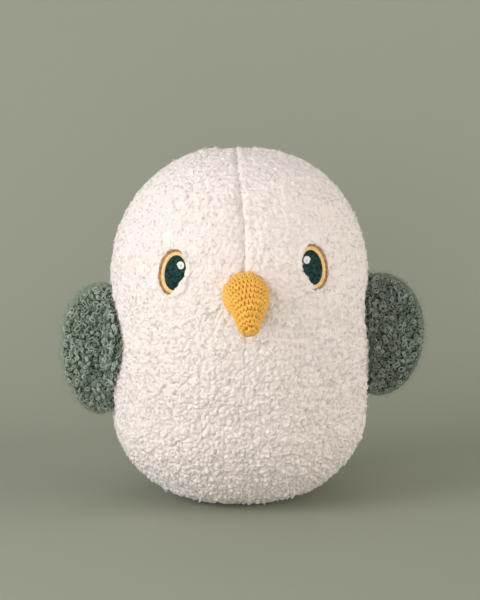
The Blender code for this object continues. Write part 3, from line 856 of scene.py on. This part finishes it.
def beak_round(out):
    """Middle of a round of the beak, and the ways across it, up it and ahead of it."""
    face = -half_width(BEAK_LEVEL) * BODY_DEPTH_SHARE
    bend = np.maximum(out, 0)
    pitch = BEAK_DROOP * bend
    ahead = BEAK_LENGTH * (np.minimum(out, 0) + np.sin(pitch) / BEAK_DROOP)
    down = BEAK_LENGTH * (1 - np.cos(pitch)) / BEAK_DROOP
    aside = 0.0004 + 0.0066 * bend - 0.0060 * bend**2
    middle = stacked(aside, face - ahead, BEAK_LEVEL - down)
    pitch = pitch * (1 - BEAK_END_RISE * bend)
    yaw = BEAK_END_YAW * bend
    nose = stacked(np.sin(yaw) * np.cos(pitch), -np.cos(yaw) * np.cos(pitch), -np.sin(pitch))
    side = stacked(np.cos(yaw), np.sin(yaw), np.zeros_like(yaw))
    return middle, side, np.cross(nose, side), nose


def beak_point(along, angle, growth):
    """Points on the beak from the face (0) to the end (1), grown by a length, and the ways out."""
    cone_share = 1 - BEAK_END_SHARE
    out = BEAK_END_START * np.minimum(along / cone_share, 1)
    rounding = pi / 2 * np.clip((along - cone_share) / BEAK_END_SHARE, 0, 1)
    wide, narrow = BEAK_WIDTH / 2, BEAK_TIP_WIDTH / 2
    radius = wide + (narrow - wide) * np.clip(out, 0, 1) ** BEAK_FULLNESS + growth
    radius = radius * np.cos(rounding) ** 0.85
    middle, side, up, nose = beak_round(out)
    middle = middle + nose * ((BEAK_END_HEIGHT + growth) * np.sin(rounding))[..., None]
    radial = np.cos(angle)[..., None] * side + np.sin(angle)[..., None] * up
    way = np.cos(rounding)[..., None] * radial + np.sin(rounding)[..., None] * nose
    return middle + radial * radius[..., None], way


def make_beak():
    look = yarn("beak_yarn_look", ((0.89, 0.54, 0.095), (0.82, 0.40, 0.050)), 0.3)
    # Painted shade: the sheet under the stitches has a darker yarn colour, for the shade in the
    # holes between them.
    shade = yarn("beak_painted_shade_look", ((0.55, 0.24, 0.03), (0.45, 0.17, 0.02)), 0.0)
    root = -BEAK_ROOT_DEPTH * 0.4 / BEAK_LENGTH
    grid = np.meshgrid(np.linspace(root, 0.99, 60), circle(64), indexing="ij")
    under = closed_form(beak_point(*grid, -0.0009)[0])
    add_piece("beak_shade_backing", under, shade, "body", "beak_cover")
    filling = closed_form(beak_point(*grid, -BEAK_WALL - 0.0003)[0])
    inside = wadding("beak_wadding_look")
    add_piece("beak_wadding", filling, inside, "body", "beak_filling")

    shares = np.linspace(0, 1, 7)
    legs, across, thin = [], [], []
    for number in range(-1, ROUNDS):
        middle = (number + 0.5) / ROUNDS
        ends = beak_point(np.full(2, middle), np.array([0, pi]), 0.0)[0]
        count = max(5, round(pi * float(np.linalg.norm(ends[0] - ends[1])) / STITCH_WIDTH))
        places = 2 * pi * (np.arange(count) + 0.5 * (number % 2) + 0.37 * number) / count
        places = places + dice.normal(size=count) * 0.05 / count
        for way in (-1, 1):
            along = middle + (0.40 - 0.80 * shares) / ROUNDS + dice.normal(size=(count, 1)) * 0.002
            along = np.clip(along, root, 0.997)
            swing = places[:, None] + way * (pi / count) * (0.14 + 0.80 * shares)
            lift = -0.00105 + 0.00120 * np.sin(pi * shares) ** 0.8
            lines, radial = beak_point(along, swing, lift - 0.0002 * np.clip(along, 0, 1) ** 2)
            legs.append(lines)
            across.append(radial[:, 3])
            thin.append(np.full((count, 1), 1 + 0.16 * max(middle, 0) ** 6))
    lines, across, thin = [np.concatenate(parts) for parts in (legs, across, thin)]
    radii = YARN_THICKNESS * (0.72 + 0.28 * np.sin(pi * shares)) * thin
    crochet = tubes(lines, radii * dice.uniform(0.93, 1.07, (len(lines), 1)), 8, across)
    turns = radians(80) + np.array([-0.10, 0.02, 0.12])
    top, radial = beak_point(np.full(3, 0.03), turns, np.full(3, 0.0009))
    knot = curls_on(top, radial, 0.0013, 0.0007, 10, 8, 0.4)
    add_piece("beak_crochet", joined([crochet, knot]), look)
    picks = dice.integers(0, len(lines), 260)
    fuzz = fibres(lines[picks, 3], across[picks], BEAK_HAIR, 0.6)
    add_piece("beak_fuzz", fuzz, look)


def oval_points(ring, angle, grow=0.0):
    width, height, shift = ring
    return stacked(shift + (width + grow) * np.cos(angle), (height + grow) * np.sin(angle))


def stitch_lines(start, end, level, arch, steps):
    """Threads laid from start points to end points, arched and tucked in at both ends."""
    shares = np.linspace(0, 1, steps)
    flat = start[:, None] + (end - start)[:, None] * shares[None, :, None]
    up = level(flat[..., 0], flat[..., 1]) + arch * np.sin(pi * shares) ** 0.5 - arch
    return np.concatenate([flat, up[..., None]], axis=-1)


def make_eye(side, looks):
    """One stitched eye: upright stitches on the pupil, radial ones on both bands, a coiled dot."""
    place = eye_place(side)
    pupil, iris, rim = eye_rings()
    low = -EYE_SINK + 0.0003
    high = low + EYE_THICKNESS

    def dome(x, y):
        away = (x / pupil[0]) ** 2 + (y / pupil[1]) ** 2
        return high + PUPIL_CROWN * np.clip(1 - away, 0, 1)

    def level_top(x, y):
        return np.full(x.shape, high + 0.00005)

    def piece(name, mesh):
        kind = name.split("_")[0]
        node = f"{side}_eye_{name}" if name == kind else None
        mesh = placed(mesh, place, side)
        look = looks.get(name) or looks[kind]
        add_piece(f"{side}_eye_{name}", mesh, look, "body", node)

    def threads(lines, thickness, across, sides=6):
        radii = np.full(lines.shape[:2], thickness)
        return tubes(lines, radii, sides, np.tile(across, (len(lines), 1)))

    def rings(ring, *steps):
        angle = circle(72)
        return [np.c_[oval_points(ring, angle, grow), np.full(72, at)] for grow, at in steps]

    def backing(outer, inner, top):
        """Closed pad under the stitches, whole or with an oval hole."""
        outline = rings(outer, (-0.0002, low), (-0.0001, top - PAD_BEVEL), (-0.0004, top))
        if inner:
            outline += rings(inner, (0.0002, top), (0.00005, top - PAD_BEVEL), (0.0001, low))
            sections = np.array(outline).transpose(1, 0, 2)
            return sections.reshape(-1, 3), wall_faces(*sections.shape[:2], laps=True)
        flats = [oval_points(outer, circle(72)) * share for share in (0.8, 0.5, 0.2)]
        outline += [np.c_[flat, dome(*flat.T) - (high - top)] for flat in flats]
        return closed_form(np.array(outline))

    spots = np.arange(-pupil[0] + 0.0002, pupil[0] - 0.0001, THREAD_PITCH)
    reach = pupil[1] * np.sqrt(1 - (spots / pupil[0]) ** 2)
    cuts = np.sort(dice.uniform(-0.75, 0.75, (len(spots), 2)), axis=1)
    ends = np.c_[np.full(len(spots), -1.0), cuts, np.full(len(spots), 1.0)]
    lines = []
    for lower in range(3):
        start = stacked(spots, ends[:, lower] * reach)
        end = stacked(spots + 0.0001, ends[:, lower + 1] * reach)
        start += dice.normal(size=start.shape) * 0.00005
        lines.append(stitch_lines(start, end, dome, 0.00022, 8))
    piece("pupil", backing(pupil, None, high - 0.00025))
    piece("pupil_stitches", threads(np.concatenate(lines), THREAD_THICKNESS, [1.0, 0, 0]))

    bands = (("iris", pupil, iris, 0.0001, 0.0005, 0.05), ("rim", iris, rim, 0.0005, 0.0, -0.06))
    for name, inner, outer, first, last, slant in bands:
        fine = np.linspace(0, 2 * pi, 721)
        steps = np.diff(oval_points(outer, fine), axis=0)
        length = np.append(0, np.cumsum(np.linalg.norm(steps, axis=1)))
        count = int(length[-1] / THREAD_PITCH)
        angle = np.interp(np.arange(count) * length[-1] / count, length, fine)
        angle = angle + dice.normal(size=count) * 0.004
        ragged = dice.normal(size=count) * (0.00010 if last else 0.00022)
        start = oval_points(inner, angle + slant, first)
        end = oval_points(outer, angle, last)
        end = end + unit(end - start) * ragged[:, None]
        lines = stitch_lines(start, end, level_top, 0.0003, 6)
        piece(name, backing(outer, inner, high - 0.0003))
        piece(name + "_stitches", threads(lines, THREAD_THICKNESS * 1.05, [0, 0, 1.0]))

    x, y = -GLINT_INWARD, GLINT_UP
    turns = np.linspace(0, 1, 60)
    angle = 2 * pi * 2.3 * turns
    coil = GLINT_WIDTH / 2 * (1 - 0.74 * turns)
    top = dome(x, y) + 0.00035
    spiral = stacked(x + coil * np.cos(angle), y + coil * np.sin(angle), top + 0.0001 * turns)
    dot = stacked(np.cos(circle(24)), np.sin(circle(24)))
    levels = ((0.9, low), (0.92, top - PAD_BEVEL), (0.8, top), (0.3, top))
    pad = [np.c_[(x, y) + GLINT_WIDTH / 2 * share * dot, np.full(24, at)] for share, at in levels]
    piece("glint", closed_form(np.array(pad)))
    piece("glint_coil", threads(spiral[None], 0.00040, [0, 0, 1.0], 8))


def make_eyes():
    looks = {
        "pupil": thread("pupil_look", (0.021, 0.080, 0.070), (0.001, 0.004, 0.004), 0.55, 0.12),
        "iris": thread("iris_look", (0.92, 0.68, 0.33), (0.80, 0.50, 0.16), 0.4, 0.5),
        "rim": thread("rim_look", (0.58, 0.30, 0.10), (0.22, 0.085, 0.02), 0.4, 0.5),
        "glint_coil": thread("glint_look", (0.90, 0.90, 0.89), (0.82, 0.83, 0.83), 0.5, 0.4),
        "glint": thread("glint_gap_look", (0.56, 0.59, 0.59), (0.40, 0.43, 0.43), 0.6, 0.2),
    }
    for side in SIGNS:
        make_eye(side, looks)


def seam_radius(level):
    """Distance of the drawn-in side seam from the body's middle line."""
    radius = np.interp(-level, -LEVEL, RADIUS)
    radius = radius - seam_pull(np.full_like(radius, -SIDE_SEAM_TURN), radius, level)
    return radius * hypot(cos(SIDE_SEAM_TURN), sin(SIDE_SEAM_TURN) * BODY_DEPTH_SHARE)


def hinge_radius(side):
    level, height, _ = WINGS[side]
    levels = level + height * np.linspace(-0.5, 0.5, WING_RINGS + 1)
    return float(seam_radius(levels).max()) + WING_ROOT_NOSE


def wing_place(side):
    """Frame on a wing's hinge axis, on the owl's left: X runs out, Z up the axis."""
    turn = Matrix.Rotation(-SIDE_SEAM_ANGLE, 4, "Z")
    return np.array(turn @ Matrix.Translation((hinge_radius(side), 0, WINGS[side][0])))


def rises(rows, start=0.5, extra=0.0):
    """Heights from -1 to 1, closer together towards both ends."""
    return -np.cos(pi * (np.arange(rows) + start) / (rows + extra))


def wing_skin(side, rise, angle, shrink=0.0):
    """Points of the pad: rise from -1 to 1, and the angle round its section from the root (0)."""
    level, height, span = WINGS[side]
    slim = np.sqrt(np.clip(1 - rise**2, 0, 1))
    wide = (span - WING_CENTRE_OUT - shrink) * slim * (1 + WING_TAPER_SHARE * rise)
    x = WING_CENTRE_OUT - wide * np.cos(angle)
    y = -(WING_THICKNESS / 2 - shrink) * slim * np.sin(angle)
    z = (height / 2 - shrink) * rise
    groove = atan2(SEAM_DRAW, 1.5 * SEAM_HALF_WIDTH)
    opening = WING_SWING + groove
    nose = (hinge_radius(side) - seam_radius(level + z)) * cos(groove) - WING_ROOT_GAP - shrink
    nose = np.maximum(nose, 0.0005)
    off = np.abs(y)
    round_end = -np.sqrt(np.clip(nose**2 - off**2, 0, None))
    slope = -nose * cos(opening) + (off - nose * sin(opening)) * np.tan(opening)
    limit = np.where(off < nose * sin(opening), round_end, slope)
    return stacked(np.maximum(x, limit), y, z)


def wing_swell(side, rows=26, columns=36):
    """Swelling of a wing's cover, from cloth held along its root."""
    points = wing_skin(side, *np.meshgrid(rises(rows), circle(columns), indexing="ij"))
    held = np.append(points[..., 0] < 0.002, [False, False])
    return settled(closed_form(points), held, WING_SWELL_CAP)[:-2].reshape(rows, columns, 3)


def wing_surface(side, swell, rise, angle, shrink=0.0):
    """Points of the swollen pad and the directions out of it."""
    rows, columns = swell.shape[:2]
    row = np.clip(np.arccos(-rise) / pi * rows - 0.5, 0, rows - 1).ravel()
    column = (angle % (2 * pi) / (2 * pi) * columns).ravel()
    points = wing_skin(side, rise, angle, shrink)
    points = points + between(swell, row, column).reshape(points.shape)
    out = unit(np.cross(np.gradient(points, axis=0), np.gradient(points, axis=1)))
    outward = np.einsum("ijk,ijk->ij", out, points - np.array([WING_CENTRE_OUT, 0, 0]))
    return points, out * np.sign(outward)[..., None]


def lumps(points, size, depth, seed):
    """Boucle or fleece relief: heights and how open each point is."""
    warp = 0.5 * size * noise_vector(points, 1.3 * size, seed)
    dome, crease, _ = tufts(points + warp, size, seed + 5, 1, 0.2)
    height = dome * (0.3 + 0.7 * crease)
    return depth * height, np.clip(height, 0, 1)


def wing_pad(side, face, swell, looks):
    """One half of a wing as a closed shell, and the loops or hairs that stand on it."""
    front = face == "front"
    way = 1 if front else -1
    columns, inner_columns = 130, 20
    rise, angle = rises(150, 0.6, 0.2), np.linspace(0, pi, columns) * way
    grid = np.meshgrid(rise, angle, indexing="ij")
    points, out = wing_surface(side, swell, *grid)
    turn = grid[1] * way
    edge = np.minimum(smooth_step(turn, 0, 0.12), smooth_step(pi - turn, 0, 0.12))
    flank = np.sqrt(np.clip(1 - grid[0] ** 2, 0, 1)) * np.where(turn > pi / 2, np.sin(turn), 1)
    flat = points.reshape(-1, 3)
    height, openness = lumps(flat, FLEECE_TUFT, FLEECE_DEPTH, 83)
    height, openness = height - 0.6 * FLEECE_DEPTH, openness * 0.6 + 0.4
    if front:
        looped = smooth_step(flank, RIM_SHARE - 0.06, RIM_SHARE + 0.02)
        loop_height, loop_open = lumps(flat, LOOP_TUFT, LOOP_DEPTH, 83)
        height += (loop_height - 0.6 * LOOP_DEPTH - height) * looped.ravel()
        openness += (loop_open - openness) * looped.ravel()
    height = height.reshape(edge.shape) * (0.2 + 0.8 * edge)
    outer = points + out * height[..., None]
    back = np.meshgrid(rise, angle[:: -(columns // inner_columns)], indexing="ij")
    lining = wing_surface(side, swell, *back, WING_COVER)[0]
    place = wing_place(side)

    def piece(name, mesh, look, node=None, tones=None):
        name = f"{side}_wing_{name}"
        mesh = placed(mesh, place, side)
        body = side + "_wing"
        return add_piece(name, mesh, looks[look], body, node, tones)

    def beside_lining(values, inside):
        """Values of the face's points, with one for all of the lining and both caps."""
        lined = np.full(lining.shape[:2], inside)
        return np.append(np.concatenate([values, lined], axis=1), [inside, inside])

    mesh = closed_form(np.concatenate([outer, lining], axis=1))
    tones = beside_lining(openness.reshape(edge.shape), 0.3)
    pad = piece(face + "_pad", mesh, face, f"{side}_wing_{face}_panel", tones)
    top, normal = outer.reshape(-1, 3), out.reshape(-1, 3)
    if front:
        pad.data.materials.append(looks["back"])
        plain = beside_lining(looped < 0.5, False)[mesh[1]].mean(axis=1) > 0.5
        pad.data.polygons.foreach_set("material_index", plain.astype(np.int32))
        inside = (flank > RIM_SHARE) & (edge > 0.1) & (openness.reshape(edge.shape) > 0.12)
        mesh, tones = boucle_yarn(top, normal, openness, np.flatnonzero(inside))
        piece("loops", mesh, "loops", None, tones)
        finer = scattered(top, 0.0024)
        start = top[finer] + normal[finer] * 0.0012
        fuzz = fibres(start, normal[finer], LOOP_HAIR, 0.8)
    else:
        finer = scattered(top, 0.0020)
        fuzz = fibres(top[finer], normal[finer], FLEECE_HAIR, 0.5)
    piece(face + "_fuzz", fuzz, "fuzz")


def wing_root(side, looks):
    """Boucle that swells over the body in front of the wing, and its stray fibres."""
    middle, above, half_height = ROOTS[side]
    level = WINGS[side][0] + above
    rows, around = 46, 40
    rise = rises(rows, 0.6, 0.2)
    slim = (1 - rise**2)[:, None]
    angle = circle(around)
    along = np.interp(-(level + rise * half_height), -LEVEL, ALONG)
    half = middle - radians(6.5)
    turn = -middle + half * (1 - slim) - half * slim * np.cos(angle)
    points, out = body_surface(turn.ravel(), np.repeat(along, around))
    lift = (0.0006 + ROOT_LIFT * slim * np.sin(angle)).ravel()
    lumpy, openness = lumps(points, LOOP_TUFT, 0.8 * LOOP_DEPTH, 91)
    form = points + out * (lift + lumpy * (lift > 0.001))[:, None]
    roll = closed_form(form.reshape(rows, around, 3))
    loops, tones = boucle_yarn(form, out, openness, np.flatnonzero(lift > 0.0003))
    inboard = np.flatnonzero(np.tile(np.cos(angle) > 0.6, rows) & (lift > 0))
    picks = dice.choice(inboard, 110)
    ahead = unit(np.array([-1.0, -0.5, -0.1]) + 0.5 * out[picks])
    strays = fibres(form[picks], ahead, ROOT_HAIR, 0.45, 8)
    sign = SIGNS[side]
    hinge = hinge_radius(side)
    parts = (
        ("roll", roll, "front", np.append(openness, [0.3, 0.3])),
        ("loops", loops, "loops", tones),
        ("fibres", strays, "fuzz", None),
    )
    for name, (points, faces), look, tones in parts:
        mesh = points * np.array([sign, 1, 1]), faces
        piece = new_piece(f"{side}_wing_root_{name}", mesh, looks[look], tones)
        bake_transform(piece)


def wing_looks(side):
    """Looks of each wing; the left one's colours are darker, painted shade for the shade the body
    casts on it.
    """
    # Painted shade: the front pad's dark colours under the loops, and each third tone in the
    # hollows.
    colours = {
        "front": ((0.045, 0.064, 0.044), (0.028, 0.042, 0.028), (0.004, 0.007, 0.005)),
        "loops": ((0.420, 0.495, 0.400), (0.275, 0.340, 0.263), (0.030, 0.045, 0.030)),
        "back": ((0.225, 0.265, 0.200), (0.180, 0.218, 0.158), (0.11, 0.14, 0.10)),
        "fuzz": ((0.25, 0.30, 0.23), (0.19, 0.235, 0.175)),
    }
    looks = {}
    for name, tone_set in colours.items():
        tones = [tuple(WING_SHADE_SHARE[side] * share for share in colour) for colour in tone_set]
        looks[name] = wool(f"{side}_wing_{name}_look", tones, 0.3, 210)
    return looks


def make_wings():
    for side in SIGNS:
        looks = wing_looks(side)
        swell = wing_swell(side)
        for face in ("front", "back"):
            wing_pad(side, face, swell, looks)
        wing_root(side, looks)
        grid = np.meshgrid(rises(24), circle(32), indexing="ij")
        form = closed_form(wing_skin(side, *grid, WING_COVER + 0.0006))
        wing = side + "_wing"
        look = wadding(wing + "_wadding_look")
        form = placed(form, wing_place(side), side)
        add_piece(wing + "_wadding", form, look, wing, wing + "_filling")


def add_mix(tree, factor, first, second):
    """The first shader, and the second as far as the factor says, up to the tree's output."""
    both = tree.nodes.new("ShaderNodeMixShader")
    output = next(node for node in tree.nodes if node.type.startswith("OUTPUT"))
    for start, end in zip((factor, first.outputs[0], second.outputs[0]), both.inputs):
        tree.links.new(start, end)
    tree.links.new(both.outputs[0], output.inputs["Surface"])


def make_stage():
    """Floor that sweeps up into a backdrop, which the camera looks through from behind."""
    half_sheet, front_end, floor_end, top = 1.5, -1.2, 0.20, 3.0
    sweep, steps = 0.55, 24
    outline = [(front_end, 0.0), (floor_end, 0.0)]
    for i in range(1, steps + 1):
        angle = pi / 2 * i / steps
        outline.append((floor_end + sweep * sin(angle), sweep * (1 - cos(angle))))
    outline.append((floor_end + sweep, top))
    count = len(outline)
    points = [(x, y, z) for x in (-half_sheet, half_sheet) for y, z in outline]
    faces = [(i, count + i, count + i + 1, i + 1) for i in range(count - 1)]
    mesh = bpy.data.meshes.new("studio_sweep")
    mesh.from_pydata(points, [], faces)
    mesh.shade_smooth()
    floor = bpy.data.objects.new("studio_sweep", mesh)
    bpy.context.scene.collection.objects.link(floor)
    material, tree, principled = shader("studio_paper", (0.332, 0.348, 0.276), 0.95, 0.1)
    behind = tree.nodes.new("ShaderNodeMath")
    behind.operation = "MULTIPLY"
    back_side = tree.nodes.new("ShaderNodeNewGeometry").outputs["Backfacing"]
    tree.links.new(back_side, behind.inputs[0])
    tree.links.new(tree.nodes.new("ShaderNodeLightPath").outputs["Is Camera Ray"], behind.inputs[1])
    clear = tree.nodes.new("ShaderNodeBsdfTransparent")
    add_mix(tree, behind.outputs[0], principled, clear)
    mesh.materials.append(material)


def make_lights():
    """Area lamps that look at the owl's middle, and a dim world with a surround for the camera."""
    centre = Vector((0, 0, 0.13))
    lamps = (
        ("key", (-1.16, -0.68, 0.58), 0.9, 12.4, (0.975, 0.985, 1)),
        ("front", (-0.25, -1.25, 0.12), 1.0, 10.4, (1, 0.99, 0.98)),
        ("side", (1.35, -0.28, 0.15), 1.0, 15, (1, 0.955, 0.91)),
        ("back", (0.10, 0.55, 1.30), 0.6, 0.9, (1, 1, 1)),
        ("top", (-0.15, -0.25, 1.50), 1.2, 3, (1, 1, 1)),
    )
    for name, place, size, power, colour in lamps:
        lamp = bpy.data.lights.new(name, "AREA")
        lamp.shape = "DISK"
        lamp.size = size
        lamp.energy = power
        lamp.color = colour
        obj = bpy.data.objects.new(name, lamp)
        obj.location = place
        obj.rotation_euler = (Vector(place) - centre).to_track_quat("Z", "Y").to_euler()
        bpy.context.scene.collection.objects.link(obj)
    world = bpy.data.worlds.new("studio")
    world.use_nodes = True
    tree = world.node_tree
    light = set_inputs(tree.nodes["Background"], Color=(1, 0.985, 0.96, 1), Strength=0.25)
    surround = add_node(tree, "ShaderNodeBackground", Color=(0.30, 0.32, 0.255, 1))
    seen = tree.nodes.new("ShaderNodeLightPath").outputs["Is Camera Ray"]
    add_mix(tree, seen, light, surround)
    bpy.context.scene.world = world
    bpy.context.scene.view_settings.view_transform = "Standard"


def make_camera():
    """Camera at the photograph's place; the target falls a little under the frame's middle."""
    distance = 1.3
    frame_width, frame_height = 480, 600
    metres_a_pixel = 0.0008
    target = Vector((0, 0, 0.1385))
    target_x, target_y = 239.5, 326.6
    azimuth, elevation = radians(-2.5), radians(8)
    level = cos(elevation)
    back = Vector((sin(azimuth) * level, -cos(azimuth) * level, sin(elevation)))
    camera = bpy.data.cameras.new("camera")
    camera.sensor_width = 36
    camera.lens = camera.sensor_width * distance / metres_a_pixel / frame_height
    camera.shift_x = (frame_width / 2 - target_x) / frame_height
    camera.shift_y = (target_y - frame_height / 2) / frame_height
    obj = bpy.data.objects.new("camera", camera)
    obj.location = target + distance * back
    obj.rotation_euler = back.to_track_quat("Z", "Y").to_euler()
    bpy.context.scene.collection.objects.link(obj)
    bpy.context.scene.camera = obj


SWELL = body_swell()
make_body()
make_beak()
make_eyes()
make_wings()
make_stage()
make_lights()
make_camera()
